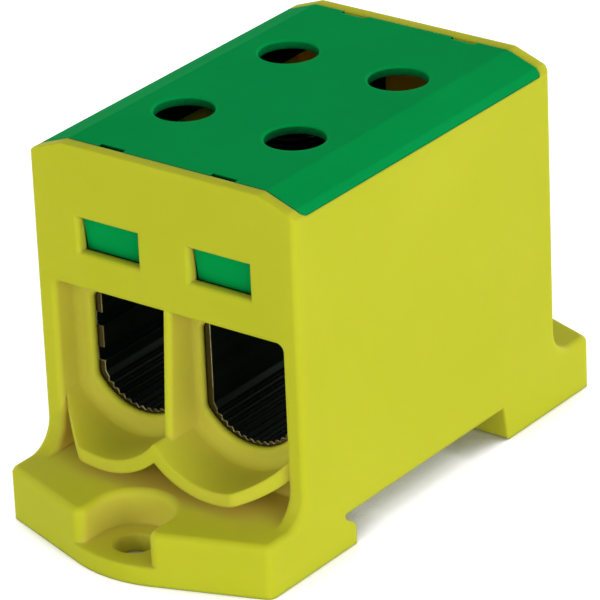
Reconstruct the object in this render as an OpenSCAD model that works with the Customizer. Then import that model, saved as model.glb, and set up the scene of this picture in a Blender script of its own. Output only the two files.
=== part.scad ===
// Two-pole power terminal block for a 35 mm mounting rail or two base screws.
// A moulded housing holds one extruded terminal bar with two conductor bores, four socket screws
// clamp the conductors, and a snap-in cover closes the top.
// Millimetres, +Z up. The origin is the middle of the base, on the mounting plane. Conductors run along Y.

/* [Body] */
// Width across the two poles
body_w = 42.2; // [41.4:0.1:46]
// Length between the two end faces
body_l = 56.2; // [55:0.1:62]
// Height to the flat of the cover
body_h = 51.4; // [51:0.1:56]
// Thickness of the long side walls
side_t = 2.3; // [2:0.1:2.5]
// Thickness of the end walls beside the cover
rim_t = 1.6; // [1.4:0.1:1.8]
// Rounding of the outer edges
edge_r = 1; // [0.5:0.1:1.2]

/* [Conductor entries] */
// Distance between the two conductor axes
pole_pitch = 17.7; // [17.2:0.1:18.2]
// Height of the entry recess above the base
entry_top = 31.4; // [31:0.1:33]
// Depth of the entry recess behind the end face
recess_d = 4.5; // [4:0.1:5]
// Thickness of the cheeks beside the entries
cheek_t = 2.9; // [2.6:0.1:3.1]
// Inside radius of the scooped lips
dish_r = 11.3; // [11:0.1:11.6]
// Thickness of the scooped lips
lip_t = 1.8; // [1.4:0.1:2.2]
// Reach of the lips beyond the end face
lip_reach = 4.1; // [3:0.1:5]
// Fillet at the root of the recess
root_r = 1.2; // [0.8:0.1:1.4]

/* [Feet] */
// Height of the foot top above the base
foot_h = 7.45; // [7:0.05:8]
// Reach of the foot nose beyond the end face
foot_reach = 14.2; // [13.6:0.1:16]
// Reach of the foot sides beyond the end face
foot_side = 7.85; // [7:0.05:8.5]
// Distance between the two base screw holes
hole_pitch = 74; // [73:0.5:78]
// Diameter of the base screw holes
hole_d = 5.4; // [4.4:0.1:6]
// Width of the screw head pockets
pocket_w = 10.6; // [10:0.1:11.4]
// Thickness left under the screw heads
pocket_floor = 2.6; // [2:0.1:3.4]

/* [Rail seat] */
// Length of the seat across the rail
seat_l = 35.6; // [35.3:0.1:36]
// Depth of the seat above the base
seat_d = 5.05; // [4.6:0.05:5.4]
// Reach of the fixed hook under the rail edge
hook_reach = 2.15; // [1.5:0.05:2.4]
// Width of the snap tongue
tongue_w = 12; // [9:0.5:14]

/* [Terminal bar] */
// Height of the bar underside above the base
bar_z = 9.7; // [9.5:0.1:10]
// Drop of the bar top below the flat of the cover
bar_drop = 10.7; // [9.5:0.1:12]
// Width of each conductor bore
bore_w = 12.6; // [12.2:0.1:13]
// Height of each conductor bore
bore_h = 15.4; // [15:0.1:16]
// Pitch of the grip teeth along the bore floor
tooth_pitch = 1.05; // [0.95:0.05:1.3]
// Depth of the grip teeth
tooth_d = 0.4; // [0.25:0.05:0.45]

/* [Clamp screws] */
// Outer diameter of the screws
screw_d = 11.8; // [11.4:0.1:11.8]
// Room between the screws at rest and the underside of the cover
screw_room = 4.2; // [3:0.1:6]
// Width across the flats of the socket
key_w = 6; // [5:0.5:6.5]
// Distance of each screw from the end of the bar
screw_inset = 11.3; // [9:0.1:12]
// Thread pitch
thread_p = 1.75; // [1.5:0.25:2]

/* [Cover] */
// Width of the flat on top of the cover
flat_w = 31.3; // [29:0.1:33]
// Thickness of the cover
cover_t = 1.3; // [1.2:0.1:1.6]
// Diameter of the access holes
access_d = 8.05; // [7.6:0.05:9]
// Width of the latch arms
arm_w = 8.95; // [7:0.05:10]
// Depth of the skirts below the cover edge
skirt_d = 4.45; // [3:0.05:5]

/* [Hidden] */
$fn = 96;
// Overlap of pieces that join, and run-out of cuts
lap = 0.3;
over = 1;
// How far a rounding tool sinks past its tangent, so that faces cross cleanly
sink = 0.02;

half_w = body_w / 2;
half_l = body_l / 2;
pole_x = pole_pitch / 2;

// Cover profile: a flat, a shallow slope and a steep edge band
shoulder_z = body_h - 2.47;
band_z = body_h - 1.6;
band_x = half_w - 1;
cover_fall = (body_h - band_z) / (band_x - flat_w / 2);
cover_gap = 0.15;
cover_y = half_l - rim_t - cover_gap;
plate_z = body_h - cover_t;
corner_in = 1;
skirt_t = 1.3;
skirt_gap = 0.2;
skirt_top = plate_z - lap;
mouth_r = 0.45;

// Chambers inside the housing
wall_in = half_w - side_t;
ring_y = half_l - recess_d;
ring_t = 0.95;
bar_room = ring_y - ring_t;
shelf_t = 1.6;
shelf_z = entry_top + shelf_t;
bar_gap = 0.15;
nib_l = 6;
nib_d = 0.6;
nib_h = 2;

// Terminal bar
bar_y = bar_room - bar_gap;
bar_x = wall_in - 0.2;
bar_top = body_h - bar_drop;
bar_h = bar_top - bar_z;
bar_r = 0.8;
bore_floor = bar_z + 3.8;
bore_r = bore_w / 2 + 1;
bore_z = bore_floor + bore_r;
bore_top = bore_floor + bore_h;
slot_d = 1;
slot_w = 1.9;
slot_z = [bore_floor + 11, bore_floor + 6];
tooth_arc = 56;
tooth_step = tooth_pitch / bore_r * 180 / PI;
tooth_n = floor(tooth_arc / tooth_step);
thread_gap = 0.08;
thread_r = screw_d / 2 + thread_gap;
lead_in = 0.7;

// Ring around each bore mouth, and the dish in front of it
ring_w = bore_w + 1.8;
ring_r = ring_w / 2 + 1.5;
ring_floor = bore_floor - 0.55;
ring_top = bore_top - 0.1;
ring_corner = 1.3;
ring_soft = 0.6;
dish_z = ring_floor + ring_r;
// Small bends between the floor arc of the mouth and its straight sides
bend_r = 1.5;
bend_x = ring_w / 2 - bend_r;
bend_arc = asin(bend_x / (ring_r - bend_r));
bend_z = dish_z - (ring_r - bend_r) * cos(bend_arc);
bend_lap = 5;
cheek_x = half_w - cheek_t;
entry_soft = 0.8;
partition_t = 1.3;
partition_slant = 1.1;
// Fillet at the root of the partition, limited by the rounded edge of the mouth beside it
partition_r = max(sink, min(root_r, pole_x - ring_w / 2 - ring_soft - partition_t / 2));
ridge_z = dish_z - sqrt(dish_r * dish_r - pole_x * pole_x);
lip_flat = cheek_x - 5.8;
lip_slope = 0.89;
lip_bend = 2;
lip_back = half_l + lip_reach - lip_slope * (cheek_x + lap - lip_flat);

// Latch windows in the end walls
window_w = arm_w + 0.6;
window_top = entry_top + 10;
window_z = entry_top + 5.1;
window_soft = 0.6;
hook_gap = 0.15;
hook_top = 0.95;
hook_low = 1.57;
arm_t = 1.45;
notch_w = 3.9;
notch_d = 0.7;
notch_deep = 1.5;

// Feet
cheek_r = 4;
nose_y = half_l + foot_reach;
side_y = half_l + foot_side;
nose_r = 18;
nose_c = nose_y - nose_r;
// Slope of the straight edges, from the foot corner to the tangent of the nose
corner_span = norm([half_w, side_y - nose_c]);
foot_slope = atan2(half_w, side_y - nose_c) - acos(nose_r / corner_span);
tangent_x = nose_r * sin(foot_slope);
tangent_y = nose_c + nose_r * cos(foot_slope);
// Upright corners of the feet and their centres: outer corner, and corner between pocket and front edge
corner_r = edge_r + 0.3;
outer_c = [half_w - corner_r, side_y - corner_r * (1 / cos(foot_slope) - tan(foot_slope))];
inner_x = pocket_w / 2 + corner_r;
inner_c = [inner_x, tangent_y - (inner_x - tangent_x) * tan(foot_slope) - corner_r / cos(foot_slope)];
edge_run = (outer_c[0] - inner_c[0]) / cos(foot_slope);
core_w = 4.4;
core_gap = 1.6;
core_t = 2.4;
core_y = [half_l - 3, half_l + 5];
core_x = [half_w - 2.5 - core_w / 2, half_w - 2.5 - core_gap - 1.5 * core_w];

// Rail seat, measured along Y
seat_front = -20.05;
seat_rear = seat_front + seat_l;
seat_lead = 0.8;
seat_foot = 0.3;
seat_flare = 0.9;
hook_face = 2.2;
hook_round = [0.1, 0.75];
hook_slot = 0.8;
hook_end = [0.15, 0.4];
tongue_t = 1.7;
tongue_tip = 0.4;
tongue_land = 0.6;
tongue_cut = 0.8;
tongue_flex = 2.4;
tongue_root = bar_z - 1.5;
tongue_nose = 1.9;
rail_t = 1.15;

// Clamp screws at rest: tips level with the bore roof
screw_z = bore_top;
screw_l = plate_z - screw_room - screw_z;
screw_y = bar_y - screw_inset;
tip_cut = 1.5;
top_cut = 0.6;
// One thread ring as depth and share of the pitch
thread_ring = [[0, 0.25], [0.75, 0.55], [0, 0.85]];
thread_n = floor((screw_l - tip_cut - top_cut) / thread_p);
socket_d = 6.5;

// Profile in X and Z, drawn out along Y
module along_y(y0, y1) {
    translate([0, y1, 0])
        rotate([90, 0, 0])
            linear_extrude(y1 - y0)
                children();
}

// Profile in Y and Z, drawn out along X
module along_x(x0, x1) {
    translate([x0, 0, 0])
        rotate([90, 0, 90])
            linear_extrude(x1 - x0)
                children();
}

module both_ends() {
    children();
    mirror([0, 1, 0])
        children();
}

module both_sides() {
    children();
    mirror([1, 0, 0])
        children();
}

// Square with rounded corners
module round_square(w, l, r) {
    square([w - 2 * r, l], center = true);
    square([w, l - 2 * r], center = true);
    for (sx = [-1, 1], sy = [-1, 1])
        translate([sx * (w / 2 - r), sy * (l / 2 - r)])
            circle(r);
}

// Tool that rounds an edge: the edge lies at the origin and the material below and left of it
module edge_tool(r) {
    difference() {
        translate([-r, -r])
            square(r + lap);
        translate([-r, -r])
            circle(r + sink);
    }
}

// Fillet for an inside corner at the origin, with walls below and left of it
module corner_fill(r) {
    difference() {
        translate([-lap, -lap])
            square(r + lap);
        translate([r, r])
            circle(r + sink);
    }
}

// Outline of the top across the body, from a given height upward
module top_profile(z) {
    polygon([
        [-half_w, z], [half_w, z], [half_w, shoulder_z], [band_x, band_z], [flat_w / 2, body_h],
        [-flat_w / 2, body_h], [-band_x, band_z], [-half_w, shoulder_z]
    ]);
}

// Place of the cover seen from the side, with rounded lower corners
module cover_bay(y, z, r) {
    translate([-y, z + r])
        square([2 * y, body_h + over - z - r]);
    translate([-y + r, z])
        square([2 * y - 2 * r, r + lap]);
    for (s = [-1, 1])
        translate([s * (y - r), z + r])
            circle(r);
}

// Plan of one foot, pointing to -Y
module foot_plan() {
    bend = corner_r * [sin(foot_slope), cos(foot_slope)];
    right = [
        [tangent_x, sink - tangent_y], [outer_c[0] + bend[0], -outer_c[1] - bend[1]],
        [half_w, -outer_c[1]], [half_w, -half_l + over]
    ];
    polygon(concat(right, [for (i = [len(right) - 1:-1:0]) [-right[i][0], right[i][1]]]));
    for (s = [-1, 1])
        translate([s * outer_c[0], -outer_c[1]])
            circle(corner_r);
    intersection() {
        translate([0, -nose_c])
            circle(nose_r);
        translate([-tangent_x - over, -nose_y - over])
            square([2 * (tangent_x + over), foot_reach]);
    }
}

// Rounding of a corner of the foot top: it sweeps about the corner's centre
module corner_rounding(centre, start, sweep) {
    translate([centre[0], -centre[1], foot_h])
        rotate([0, 0, start])
            rotate_extrude(angle = sweep)
                translate([corner_r, 0])
                    edge_tool(edge_r);
}

// Rounding of the upright corner, the cheek fillet and the foot edges, front right
module outline_rounding() {
    translate([0, 0, foot_h + cheek_r])
        linear_extrude(body_h)
            translate([half_w, -half_l])
                mirror([0, 1])
                    edge_tool(edge_r);
    translate([0, -half_l - cheek_r, foot_h + cheek_r])
        rotate([90, 0, 90])
            rotate([0, 0, -90])
                rotate_extrude(angle = 90)
                    translate([cheek_r, half_w])
                        mirror([1, 0])
                            edge_tool(edge_r);
    along_y(-outer_c[1] - lap, -half_l - cheek_r)
        translate([half_w, foot_h])
            edge_tool(edge_r);
    corner_rounding(outer_c, foot_slope - 90, 90 - foot_slope);
    translate([inner_c[0], -inner_c[1], foot_h])
        rotate([0, 0, foot_slope])
            translate([0, -corner_r, 0])
                along_x(-lap, edge_run + lap)
                    mirror([1, 0])
                        edge_tool(edge_r);
    corner_rounding(inner_c, 180, 90 + foot_slope);
}

// Plan of a pocket for a base screw head, open to the nose, with rounded corners at its mouth
module pocket_plan() {
    front = nose_y + over;
    translate([0, -hole_pitch / 2])
        circle(d = pocket_w);
    translate([-pocket_w / 2, -front])
        square([pocket_w, front - hole_pitch / 2]);
    for (s = [0, 1])
        mirror([s, 0])
            difference() {
                translate([0, -front])
                    square([inner_c[0] + corner_r * sin(foot_slope), front - inner_c[1]]);
                translate([inner_c[0], -inner_c[1]])
                    circle(corner_r + sink / 2);
            }
}

// Pocket with its hole and the rounding of its edges
module screw_pocket() {
    translate([0, 0, pocket_floor])
        linear_extrude(foot_h)
            pocket_plan();
    translate([0, -hole_pitch / 2, 0]) {
        translate([0, 0, -over])
            cylinder(d = hole_d, h = foot_h);
        translate([0, 0, foot_h])
            rotate_extrude(angle = 180)
                translate([pocket_w / 2, 0])
                    mirror([1, 0])
                        edge_tool(edge_r);
    }
    both_sides()
        along_y(-inner_c[1] - lap, -hole_pitch / 2)
            translate([pocket_w / 2, foot_h])
                mirror([1, 0])
                    edge_tool(edge_r);
}

// Cores in the underside of one foot
module foot_cores() {
    for (x = core_x)
        translate([x, -(core_y[0] + core_y[1]) / 2, -over])
            linear_extrude(foot_h - core_t + over)
                round_square(core_w, core_y[1] - core_y[0], edge_r / 2);
}

// Opening of both entries in the end wall, from the foot top to the recess ceiling
module entry_bay() {
    along_y(-half_l - over, -ring_y)
        difference() {
            translate([-cheek_x, foot_h])
                square([2 * cheek_x, entry_top - foot_h]);
            for (s = [-1, 1])
                translate([s * cheek_x, entry_top])
                    mirror([s > 0 ? 0 : 1, 0])
                        edge_tool(edge_r);
        }
}

// Rounding of the front edge of both entries: ceiling, upper corners, cheeks and cheek fillets
module entry_rounding() {
    translate([0, -half_l, 0])
        rotate([90, 0, 0]) {
            both_sides() {
                translate([0, entry_top - edge_r, 0])
                    rotate([90, 0, 0])
                        linear_extrude(entry_top - edge_r - foot_h - cheek_r)
                            mouth_tool(cheek_x, entry_soft);
                translate([cheek_x - edge_r, entry_top - edge_r, 0])
                    rotate_extrude(angle = 90)
                        mouth_tool(edge_r, entry_soft);
            }
            translate([-cheek_x + edge_r, entry_top, 0])
                rotate([90, 0, 90])
                    linear_extrude(2 * (cheek_x - edge_r))
                        mouth_tool(0, entry_soft);
        }
    intersection() {
        both_sides()
            translate([0, -half_l - cheek_r, foot_h + cheek_r])
                rotate([90, 0, 90])
                    rotate([0, 0, -90])
                        rotate_extrude(angle = 90)
                            translate([cheek_r, cheek_x])
                                rotate(180)
                                    edge_tool(entry_soft);
        translate([-half_w, -nose_y, foot_h + sink])
            cube([body_w, nose_y, body_h]);
    }
}

// Mouth in the ring wall in front of one bore: round floor, straight sides, rounded top corners
module ring_mouth() {
    floor_w = 2 * ring_r * sin(bend_arc);
    intersection() {
        translate([0, dish_z])
            circle(ring_r);
        translate([-floor_w / 2, ring_floor - over])
            square([floor_w, dish_z - ring_floor]);
    }
    translate([-ring_w / 2, bend_z])
        square([ring_w, ring_top - ring_corner - bend_z]);
    translate([-ring_w / 2 + ring_corner, bend_z])
        square([ring_w - 2 * ring_corner, ring_top - bend_z]);
    for (s = [-1, 1]) {
        translate([s * bend_x, bend_z])
            circle(bend_r + sink);
        translate([s * (ring_w / 2 - ring_corner), ring_top - ring_corner])
            circle(ring_corner);
    }
}

// Rounding of the mouth edge along the floor, the bends, the sides, the corners and the top
module mouth_rounding() {
    translate([0, -ring_y, 0])
        rotate([90, 0, 0]) {
            translate([0, dish_z, 0])
                rotate([0, 0, -90 - bend_arc])
                    rotate_extrude(angle = 2 * bend_arc)
                        mouth_tool(ring_r, ring_soft);
            both_sides() {
                translate([bend_x, bend_z, 0])
                    rotate([0, 0, bend_arc - 90 - bend_lap])
                        rotate_extrude(angle = 90 - bend_arc + 2 * bend_lap)
                            mouth_tool(bend_r, ring_soft);
                translate([0, ring_top - ring_corner, 0])
                    rotate([90, 0, 0])
                        linear_extrude(ring_top - ring_corner - bend_z)
                            mouth_tool(ring_w / 2, ring_soft);
                translate([ring_w / 2 - ring_corner, ring_top - ring_corner, 0])
                    rotate_extrude(angle = 90)
                        mouth_tool(ring_corner, ring_soft);
            }
            translate([-ring_w / 2 + ring_corner, ring_top, 0])
                rotate([90, 0, 90])
                    linear_extrude(ring_w - 2 * ring_corner)
                        mouth_tool(0, ring_soft);
        }
}

// Tool that rounds the edge of an opening at a distance from the origin, with the material right of it
module mouth_tool(distance, soft) {
    translate([distance, 0])
        mirror([1, 0])
            edge_tool(soft);
}

// Discs of both poles, of a given radius, about the dish axes
module pole_discs(r) {
    for (s = [-1, 1])
        translate([s * pole_x, dish_z])
            circle(r);
}

// Tool that rounds the corner of the lips in plan: the corner lies at the origin
module lip_corner() {
    turn = atan(lip_slope);
    centre = [-lip_bend * tan(turn / 2), lip_bend];
    difference() {
        polygon([
            centre, [centre[0], -over], [over, -over], centre + (lip_bend + over) * [sin(turn), -cos(turn)]
        ]);
        translate(centre)
            circle(lip_bend + sink);
    }
}

// The scooped lips of both poles: two dished shells that meet in a ridge
module lips() {
    intersection() {
        along_y(-half_l - lip_reach - over, -ring_y + lap)
            intersection() {
                difference() {
                    pole_discs(dish_r + lip_t);
                    pole_discs(dish_r);
                }
                translate([-cheek_x - lap, 0])
                    square([2 * (cheek_x + lap), dish_z]);
            }
        linear_extrude(body_h)
            difference() {
                polygon([
                    [-lip_flat, -half_l - lip_reach], [lip_flat, -half_l - lip_reach],
                    [cheek_x + lap, -lip_back], [cheek_x + lap, -ring_y + lap],
                    [-cheek_x - lap, -ring_y + lap], [-cheek_x - lap, -lip_back]
                ]);
                both_sides()
                    translate([lip_flat, -half_l - lip_reach])
                        lip_corner();
            }
    }
}

// Wall between the two entries: its half-round front edge leans out towards the ridge of the lips
module partition() {
    nose = partition_t / 2;
    lean = atan(partition_slant / (entry_top - ridge_z));
    low = ridge_z - partition_t;
    high = entry_top + entry_soft + lap;
    intersection() {
        translate([0, -half_l, entry_top])
            rotate([-lean, 0, 0])
                translate([0, nose, low - entry_top - over])
                    linear_extrude(high - low + 2 * over) {
                        circle(nose);
                        translate([-nose, 0])
                            square([partition_t, recess_d + partition_slant]);
                    }
        translate([-partition_t, -half_l - lip_reach, low])
            cube([2 * partition_t, lip_reach + recess_d + lap, high - low]);
    }
}

// Fillets at the root of the right-hand recess
module root_fillets() {
    intersection() {
        translate([pole_x, -ring_y, dish_z])
            rotate([90, 0, 0])
                rotate_extrude()
                    translate([dish_r, 0])
                        mirror([1, 0])
                            corner_fill(root_r);
        translate([0, -half_l, bar_z])
            cube([cheek_x + lap, half_l, dish_z - bar_z]);
    }
    translate([0, 0, ridge_z - partition_t])
        linear_extrude(entry_top - ridge_z + partition_t + lap)
            union() {
                translate([cheek_x, -ring_y])
                    rotate(180)
                        corner_fill(root_r);
                translate([partition_t / 2, -ring_y])
                    mirror([0, 1])
                        corner_fill(partition_r);
            }
}

// Fillet from one cheek down to the foot top
module cheek_fillet() {
    along_x(cheek_x, half_w)
        translate([-half_l, foot_h])
            mirror([1, 0])
                corner_fill(cheek_r);
}

// Section of the rail seat, with the fixed hook in front
module rail_seat() {
    hook_y = seat_front + hook_reach;
    polygon([
        [hook_y, -over], [hook_y, hook_face], [hook_y - hook_round[0], hook_face + hook_round[1]],
        [seat_front + hook_end[0], seat_d - hook_slot], [seat_front, seat_d - hook_end[1]],
        [seat_front, seat_d], [seat_rear, seat_d], [seat_rear + seat_lead, seat_foot],
        [seat_rear + seat_lead + seat_flare, -seat_foot], [seat_rear + seat_lead + seat_flare, -over]
    ]);
}

// Room around the snap tongue
module tongue_room() {
    translate([-tongue_w / 2 - tongue_cut, seat_rear - tongue_cut, -over])
        cube([tongue_w + 2 * tongue_cut, tongue_t + tongue_flex + 2 * tongue_cut, tongue_root + over]);
}

// Snap tongue that holds the rear edge of the rail
module tongue() {
    face = seat_rear + tongue_cut / 2;
    nose_y = seat_rear - tongue_nose;
    nose_z = seat_d - rail_t;
    along_x(-tongue_w / 2, tongue_w / 2)
        polygon([
            [face, tongue_root + lap], [face, nose_z], [nose_y + tongue_tip, nose_z],
            [nose_y, nose_z - tongue_tip], [nose_y, nose_z - tongue_tip - tongue_land],
            [face, tongue_tip], [face + tongue_tip, 0], [face + tongue_t - tongue_tip, 0],
            [face + tongue_t, tongue_tip], [face + tongue_t, tongue_root + lap]
        ]);
}

// Nibs on the side walls that hold the bar down
module bar_nibs() {
    nib_z = bar_top + bar_gap;
    both_sides()
        along_y(-nib_l / 2, nib_l / 2)
            polygon([[wall_in + lap, nib_z], [wall_in - nib_d, nib_z], [wall_in + lap, nib_z + nib_h]]);
}

// Section through both windows of one pole, with rounded edges at the end faces
module window_section(w) {
    square([w, body_l + 2 * over], center = true);
    both_ends()
        both_sides()
            translate([w / 2, half_l])
                mirror([1, 0])
                    edge_tool(window_soft);
}

// Cut of both windows of one pole, as the common part of its plan and its upright section
module windows() {
    intersection() {
        linear_extrude(body_h)
            window_section(window_w);
        translate([half_w, 0, (window_z + window_top) / 2])
            rotate([0, -90, 0])
                linear_extrude(body_w)
                    window_section(window_top - window_z);
    }
}

module housing_shell() {
    difference() {
        union() {
            intersection() {
                translate([-half_w, -half_l, 0])
                    cube([body_w, body_l, body_h]);
                along_y(-half_l, half_l)
                    top_profile(0);
            }
            both_ends()
                linear_extrude(foot_h)
                    foot_plan();
            both_ends()
                both_sides()
                    cheek_fillet();
        }
        both_ends() {
            both_sides() {
                outline_rounding();
                foot_cores();
            }
            screw_pocket();
            entry_bay();
            entry_rounding();
        }
        along_x(-half_w - over, half_w + over)
            cover_bay(half_l - rim_t, shoulder_z, corner_in + cover_gap);
        translate([-wall_in, -bar_room, bar_z])
            cube([2 * wall_in, 2 * bar_room, body_h]);
        translate([-wall_in, -half_l + rim_t, shelf_z])
            cube([2 * wall_in, body_l - 2 * rim_t, body_h]);
        along_x(-half_w - over, half_w + over)
            rail_seat();
        tongue_room();
    }
}

module housing() {
    color("#c3c832")
        difference() {
            union() {
                housing_shell();
                both_ends() {
                    lips();
                    partition();
                    both_sides()
                        root_fillets();
                }
                tongue();
                bar_nibs();
            }
            for (s = [-1, 1])
                translate([s * pole_x, 0, 0]) {
                    along_y(-half_l, half_l)
                        ring_mouth();
                    both_ends()
                        mouth_rounding();
                    windows();
                }
        }
}

// Latch arm with its hook, at the -Y end
module latch_arm() {
    along_x(-arm_w / 2, arm_w / 2)
        polygon([
            [-cover_y, plate_z + lap], [-cover_y, window_top - hook_gap],
            [-half_l + hook_top, window_top - hook_gap], [-half_l + hook_low, window_z + hook_gap],
            [-cover_y + arm_t, window_z + hook_gap], [-cover_y + arm_t, plate_z + lap]
        ]);
}

// Access hole with a rounded mouth
module access_hole() {
    translate([0, 0, shoulder_z - over])
        cylinder(d = access_d, h = body_h);
    translate([0, 0, body_h])
        rotate_extrude()
            translate([access_d / 2, 0])
                mirror([1, 0])
                    edge_tool(mouth_r);
}

// Room under the cover plate, parallel to its flat and its slopes
module cover_underside() {
    inner = wall_in - skirt_gap;
    edge_z = plate_z - cover_fall * (inner - flat_w / 2);
    polygon([
        [-inner, 0], [inner, 0], [inner, edge_z], [flat_w / 2, plate_z], [-flat_w / 2, plate_z],
        [-inner, edge_z]
    ]);
}

module cover() {
    color("#0a7a3e")
        difference() {
            union() {
                difference() {
                    intersection() {
                        along_y(-cover_y, cover_y)
                            top_profile(shoulder_z);
                        along_x(-half_w, half_w)
                            cover_bay(cover_y, shoulder_z, corner_in);
                    }
                    along_y(-half_l, half_l)
                        cover_underside();
                }
                both_sides()
                    translate([wall_in - skirt_gap - skirt_t, -cover_y, shoulder_z - skirt_d])
                        cube([skirt_t, 2 * cover_y, skirt_top - shoulder_z + skirt_d]);
                both_ends()
                    for (s = [-1, 1])
                        translate([s * pole_x, 0, 0])
                            latch_arm();
            }
            both_ends()
                for (s = [-1, 1])
                    translate([s * pole_x, 0, 0]) {
                        translate([0, -screw_y, 0])
                            access_hole();
                        translate([-notch_w / 2, -half_l, body_h - notch_deep])
                            cube([notch_w, half_l - cover_y + notch_d, notch_deep + over]);
                    }
        }
}

// Section of one bore: flat sides, a round toothed floor and two slots in the outer wall
module bore_section() {
    intersection() {
        translate([-bore_w / 2, 0])
            square([bore_w, bore_top]);
        union() {
            translate([0, bore_z])
                circle(bore_r);
            translate([-bore_w, bore_z])
                square([2 * bore_w, bore_h]);
        }
    }
    for (i = [-tooth_n:tooth_n])
        translate([0, bore_z])
            rotate([0, 0, i * tooth_step])
                translate([0, -bore_r])
                    rotate([0, 0, 45])
                        square(tooth_d * sqrt(2), center = true);
    for (z = slot_z)
        translate([0, z - slot_w / 2])
            square([bore_w / 2 + slot_d, slot_w]);
}

module terminal_bar() {
    color("#b9bcbf")
        difference() {
            along_y(-bar_y, bar_y)
                difference() {
                    translate([0, bar_z + bar_h / 2])
                        round_square(2 * bar_x, bar_h, bar_r);
                    both_sides()
                        translate([pole_x, 0])
                            bore_section();
                }
            for (sx = [-1, 1], sy = [-1, 1])
                translate([sx * pole_x, sy * screw_y, bar_z + bar_h / 2]) {
                    cylinder(r = thread_r, h = bar_h);
                    translate([0, 0, bar_h / 2 - lead_in])
                        cylinder(r1 = thread_r, r2 = thread_r + lead_in, h = lead_in);
                }
        }
}

// Clamp screw, turned as one outline with its thread shown as rings
module clamp_screw(sx, sy) {
    r = screw_d / 2;
    color("#8f9296")
        translate([sx * pole_x, sy * screw_y, screw_z])
            difference() {
                rotate_extrude()
                    polygon(concat(
                        [[0, 0], [r - tip_cut, 0], [r, tip_cut]],
                        [for (i = [0:thread_n - 1], p = thread_ring)
                            [r - p[0], tip_cut + (i + p[1]) * thread_p]],
                        [[r, screw_l - top_cut], [r - top_cut, screw_l], [0, screw_l]]
                    ));
                translate([0, 0, screw_l - socket_d])
                    cylinder(d = key_w / cos(30), h = socket_d + over, $fn = 6);
            }
}

module clamp_screw_front_left() {
    clamp_screw(-1, -1);
}

module clamp_screw_front_right() {
    clamp_screw(1, -1);
}

module clamp_screw_rear_left() {
    clamp_screw(-1, 1);
}

module clamp_screw_rear_right() {
    clamp_screw(1, 1);
}

housing();
cover();
terminal_bar();
clamp_screw_front_left();
clamp_screw_front_right();
clamp_screw_rear_left();
clamp_screw_rear_right();
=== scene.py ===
"""Looks of the power terminal block around its CAD frame: materials, floor, light and camera."""

import bpy
from mathutils import Matrix, Vector

MM = 0.001
BLACK = (0, 0, 0, 1)
WHITE = (1, 1, 1, 1)

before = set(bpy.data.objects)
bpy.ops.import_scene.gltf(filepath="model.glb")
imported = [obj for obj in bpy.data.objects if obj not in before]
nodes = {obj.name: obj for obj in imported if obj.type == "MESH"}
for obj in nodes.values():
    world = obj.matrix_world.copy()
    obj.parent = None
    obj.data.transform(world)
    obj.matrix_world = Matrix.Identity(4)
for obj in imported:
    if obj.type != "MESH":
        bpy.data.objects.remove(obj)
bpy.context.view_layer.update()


def srgb(r, g, b):
    """Linear colour of an 8-bit sRGB one."""
    def lin(c):
        c /= 255
        return c / 12.92 if c <= 0.04045 else ((c + 0.055) / 1.055) ** 2.4
    return (lin(r), lin(g), lin(b), 1.0)


def grey(level):
    """Linear grey."""
    return (level, level, level, 1.0)


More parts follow.
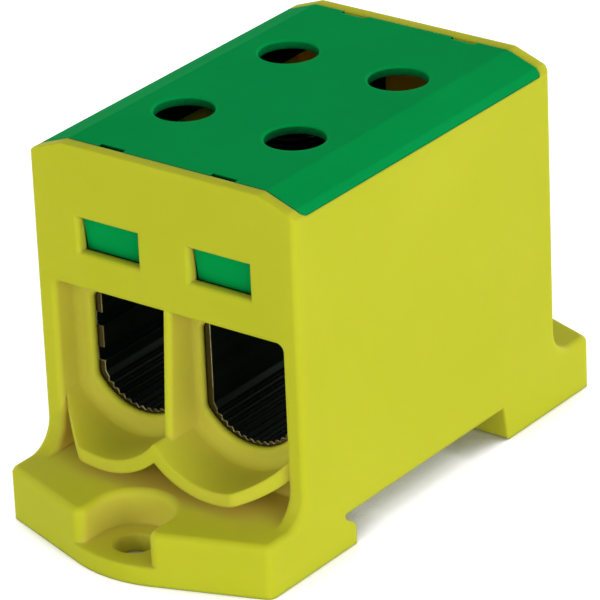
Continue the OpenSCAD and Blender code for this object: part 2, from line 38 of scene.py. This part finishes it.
class Tree:
    """Small helper to write a material's nodes."""

    # Places of a mix node's colour sockets, which share their names with its other sockets
    MIX_A = 6
    MIX_B = 7
    MIX_RESULT = 2

    def __init__(self, name):
        self.mat = bpy.data.materials.new(name)
        self.mat.use_nodes = True
        self.nodes = self.mat.node_tree.nodes
        self.links = self.mat.node_tree.links
        self.bsdf = self.nodes["Principled BSDF"]
        self.place = self.add("ShaderNodeTexCoord").outputs["Object"]

    def add(self, kind, **values):
        """New node, with values for its sockets and settings by name."""
        node = self.nodes.new(kind)
        for key, value in values.items():
            if key in node.inputs:
                node.inputs[key].default_value = value
            else:
                setattr(node, key, value)
        return node

    def link(self, a, b):
        self.links.new(a, b)

    def shader(self, values):
        """Plain values on the shader's own sockets."""
        for socket, value in values.items():
            self.bsdf.inputs[socket].default_value = value

    def noise(self, scale, detail, stretch=(1.0, 1.0, 1.0)):
        """Noise in the object's own coordinates, in cells per metre."""
        place = self.add("ShaderNodeMapping", Scale=stretch)
        self.link(self.place, place.inputs["Vector"])
        node = self.add("ShaderNodeTexNoise", Scale=scale, Detail=detail, Roughness=0.55)
        self.link(place.outputs["Vector"], node.inputs["Vector"])
        return node.outputs["Fac"]

    def ramp(self, source, *stops):
        """Colour ramp between two (position, colour) stops."""
        node = self.add("ShaderNodeValToRGB")
        for element, (position, colour) in zip(node.color_ramp.elements, stops):
            element.position = position
            element.color = colour
        self.link(source, node.inputs["Fac"])
        return node.outputs["Color"]

    def spread(self, source, low, high):
        """Maps 0..1 to low..high."""
        node = self.add("ShaderNodeMapRange")
        node.inputs["To Min"].default_value = low
        node.inputs["To Max"].default_value = high
        self.link(source, node.inputs["Value"])
        return node.outputs["Result"]

    def blend(self, factor, a, b):
        """Colour between the linked colour a and the plain colour b."""
        node = self.add("ShaderNodeMix", data_type="RGBA")
        self.link(factor, node.inputs["Factor"])
        self.link(a, node.inputs[self.MIX_A])
        node.inputs[self.MIX_B].default_value = b
        return node.outputs[self.MIX_RESULT]

    def calc(self, operation, a, b=None, kind="ShaderNodeMath"):
        """One operation on linked values, or on a linked value and a number."""
        node = self.add(kind, operation=operation)
        self.link(a, node.inputs[0])
        if isinstance(b, float):
            node.inputs[1].default_value = b
        elif b is not None:
            self.link(b, node.inputs[1])
        return node.outputs["Value"]

    def openness(self, distance, only_local=False):
        """How open a point is to its surroundings within a distance: 1 in the open, 0 shut in."""
        node = self.add("ShaderNodeAmbientOcclusion", samples=8, only_local=only_local, Distance=distance)
        return node.outputs["AO"]

    def soft_edges(self, radius):
        """Normal that rolls over sharp edges."""
        return self.add("ShaderNodeBevel", samples=6, Radius=radius).outputs["Normal"]

    def bump(self, height, normal):
        """Very fine relief over a normal, into the shader."""
        node = self.add("ShaderNodeBump", Strength=0.2, Distance=0.02 * MM)
        self.link(height, node.inputs["Height"])
        self.link(normal, node.inputs["Normal"])
        self.link(node.outputs["Normal"], self.bsdf.inputs["Normal"])


def moulded(name, dark, light, painted_shade, painted_shade_from, own_shape, roughness, gloss, edge):
    """Satin moulded plastic: a faint cloud in the colour, painted shade in sheltered corners (a tint
    blended in by how shut in a point is, standing in for shade and bounce light there), fine grain in gloss
    and surface, and softly broken edges. A pair of openness values gives the point at which the painted
    shade is full and that at which it ends, and own_shape leaves the other pieces out of it."""
    cloud_scale = 60.0
    grain_scale = 2600.0
    # reach of the openness test that places the painted shade
    painted_shade_reach = 22 * MM
    gloss_spread = 0.05
    t = Tree(name)
    cloud = t.ramp(t.noise(cloud_scale, 3.0), (0.3, dark), (0.7, light))
    # Painted shade: the colour turns to the shade tint where the surface is shut in
    full, end = painted_shade_from
    painted_shade_amount = t.ramp(t.openness(painted_shade_reach, own_shape), (full, WHITE), (end, BLACK))
    t.link(t.blend(painted_shade_amount, cloud, painted_shade), t.bsdf.inputs["Base Color"])
    grain = t.noise(grain_scale, 2.0)
    t.link(t.spread(grain, roughness - gloss_spread, roughness + gloss_spread), t.bsdf.inputs["Roughness"])
    t.bump(grain, t.soft_edges(edge))
    t.shader({
        "Subsurface Weight": 0.4,
        "Subsurface Radius": (1.0, 0.7, 0.3),
        "Subsurface Scale": 3 * MM,
        "IOR": 1.5,
        "Specular IOR Level": gloss,
    })
    return t.mat


def metal(name, dull, bright, roughness, stretch, cut=None, ends=0.0):
    """Drawn metal: fine lines between two dull tones along one axis, and bright edges in patches, partly
    real abrasion and partly painted glints. With a cut tone, that tone and the bright edges show only
    beyond a distance along Y, where the metal was sawn."""
    line_scale = 900.0
    patch_scale = 420.0
    least_abrasion_and_glint = 0.25
    gloss_spread = 0.08
    full_edge_turn = 0.8     # cosine between the rolled normal and the face where an edge is fully bright, partly abrasion and partly painted glint
    no_edge_turn = 0.985  # and where that brightness ends
    t = Tree(name)
    lines = t.noise(line_scale, 4.0, stretch)
    face = t.ramp(lines, (0.3, dull[0]), (0.7, dull[1]))
    edge = t.soft_edges(0.22 * MM)
    flat = t.add("ShaderNodeNewGeometry").outputs["Normal"]
    turn = t.calc("DOT_PRODUCT", edge, flat, "ShaderNodeVectorMath")
    # Painted glints, partly real abrasion: edges where the rolled normal turns away take the bright tone
    abraded_and_glinting = t.ramp(turn, (full_edge_turn, WHITE), (no_edge_turn, BLACK))
    patches = t.ramp(t.noise(patch_scale, 2.0), (0.4, grey(least_abrasion_and_glint)), (0.6, WHITE))
    abrasion_and_glint = t.calc("MULTIPLY", abraded_and_glinting, patches)
    if cut:
        axes = t.add("ShaderNodeSeparateXYZ")
        t.link(t.place, axes.inputs["Vector"])
        sawn = t.calc("GREATER_THAN", t.calc("ABSOLUTE", axes.outputs["Y"]), ends)
        face = t.blend(sawn, face, cut)
        abrasion_and_glint = t.calc("MULTIPLY", abrasion_and_glint, sawn)
    t.link(t.blend(abrasion_and_glint, face, bright), t.bsdf.inputs["Base Color"])
    t.link(t.spread(lines, roughness - gloss_spread, roughness + gloss_spread), t.bsdf.inputs["Roughness"])
    t.bump(lines, edge)
    t.shader({"Metallic": 1.0})
    return t.mat


# Painted shade: the third colour is a warm tint, lighter than the plastic, that paints shade and bounce
# light into the housing's sheltered corners
HOUSING = moulded(
    "housing_plastic",
    dark=srgb(198, 202, 40), light=srgb(203, 206, 46), painted_shade=srgb(222, 205, 92),
    painted_shade_from=(0.12, 0.9), own_shape=True,
    roughness=0.55, gloss=0.1, edge=0.6 * MM,
)
# Painted shade: the third colour is a dark tint that paints the shade in shut-in places such as the walls
# of the cover's holes
COVER = moulded(
    "cover_plastic",
    dark=srgb(2, 158, 76), light=srgb(5, 164, 80), painted_shade=srgb(0, 54, 26),
    painted_shade_from=(0.35, 0.78), own_shape=False,
    roughness=0.7, gloss=0.01, edge=0.4 * MM,
)
# On the bar the dull tones are much darker than the bare metal: they paint the dark reflections and shade
# in the bores. Its bright edges are partly abrasion and partly painted glints.
BAR = metal(
    "bar_metal",
    dull=(srgb(46, 62, 52), srgb(60, 76, 64)), bright=srgb(214, 206, 164),
    roughness=0.42, stretch=(1.0, 0.02, 1.0),
    cut=srgb(82, 73, 45), ends=22.2 * MM,
)
SCREW = metal(
    "screw_steel",
    dull=(srgb(120, 120, 120), srgb(156, 156, 153)), bright=srgb(196, 196, 194),
    roughness=0.34, stretch=(1.0, 1.0, 0.05),
)


def dress(name, material):
    """Gives a CAD node its material."""
    obj = nodes[name]
    obj.data.materials.clear()
    obj.data.materials.append(material)


dress("housing", HOUSING)
dress("cover", COVER)
dress("terminal_bar", BAR)
for end in ("front", "rear"):
    for side in ("left", "right"):
        dress(f"clamp_screw_{end}_{side}", SCREW)


def floor_material():
    """Pale matt floor that glows to white for the eye and in reflections, but not in the contact shadow."""
    tone_scale = 40.0
    contact = 8 * MM
    glow_level = 0.72
    t = Tree("floor")
    tone = t.ramp(t.noise(tone_scale, 2.0), (0.3, grey(0.78)), (0.7, grey(0.8)))
    t.link(tone, t.bsdf.inputs["Base Color"])
    t.shader({"Roughness": 0.9, "Specular IOR Level": 0.1})
    path = t.add("ShaderNodeLightPath")
    seen = path.outputs["Is Camera Ray"]
    for kind in ("Is Glossy Ray", "Is Transmission Ray"):
        seen = t.calc("MAXIMUM", seen, path.outputs[kind])
    bare = t.ramp(t.openness(contact), (0.4, BLACK), (0.6, WHITE))
    glow = t.add("ShaderNodeEmission", Color=WHITE)
    t.link(t.spread(t.calc("MULTIPLY", seen, bare), 0.0, glow_level), glow.inputs["Strength"])
    both = t.add("ShaderNodeAddShader")
    t.link(t.bsdf.outputs["BSDF"], both.inputs[0])
    t.link(glow.outputs["Emission"], both.inputs[1])
    t.link(both.outputs["Shader"], t.nodes["Material Output"].inputs["Surface"])
    return t.mat


def stage_floor():
    """Wide floor, a hair below the feet."""
    half = 6.0
    drop = 0.05 * MM
    mesh = bpy.data.meshes.new("floor")
    corners = [(-half, -half, 0), (half, -half, 0), (half, half, 0), (-half, half, 0)]
    mesh.from_pydata(corners, [], [(0, 1, 2, 3)])
    mesh.materials.append(floor_material())
    obj = bpy.data.objects.new("floor", mesh)
    obj.location.z = -drop
    bpy.context.scene.collection.objects.link(obj)


stage_floor()

LAMP_TARGET = Vector((0, 0, 24)) * MM
LAMP_DISTANCE = 1.0
LAMP_SIZE = (0.8, 0.5)


def softbox(name, direction, power):
    """Rectangular soft lamp that looks at the block from a direction."""
    lamp = bpy.data.lights.new(name, "AREA")
    lamp.shape = "RECTANGLE"
    lamp.size, lamp.size_y = LAMP_SIZE
    lamp.energy = power
    obj = bpy.data.objects.new(name, lamp)
    away = Vector(direction).normalized()
    obj.location = LAMP_TARGET + away * LAMP_DISTANCE
    obj.rotation_euler = (-away).to_track_quat("-Z", "Y").to_euler()
    bpy.context.scene.collection.objects.link(obj)


softbox("right_key", (1.0, -0.25, 0.16), power=6.2)
softbox("front_key", (-0.05, -1.0, 0.16), power=3.6)
softbox("left_fill", (-1.0, 0.2, 0.14), power=4.0)
softbox("rear_fill", (0.2, 1.0, 0.25), power=3.8)


def room():
    """Even pale surroundings."""
    world = bpy.data.worlds.new("studio")
    bpy.context.scene.world = world
    world.use_nodes = True
    back = world.node_tree.nodes["Background"]
    back.inputs["Color"].default_value = WHITE
    back.inputs["Strength"].default_value = 0.34


room()


def camera():
    """Long lens from the front right, a little above, as in the photograph."""
    place = Vector((353.47, -459.14, 294.96)) * MM
    forward = Vector((-0.552, 0.7167, -0.4262)).normalized()
    level = Vector((0.803, 0.5946, -0.0401)).normalized()
    lens = bpy.data.cameras.new("camera")
    lens.sensor_width = 36.0
    lens.lens = 293.0
    lens.clip_start = 10 * MM
    obj = bpy.data.objects.new("camera", lens)
    up = level.cross(forward).normalized()
    right = forward.cross(up).normalized()
    turn = Matrix((right, up, -forward)).transposed().to_4x4()
    obj.matrix_world = Matrix.Translation(place) @ turn
    bpy.context.scene.collection.objects.link(obj)
    bpy.context.scene.camera = obj


camera()

bpy.context.scene.view_settings.view_transform = "Standard"
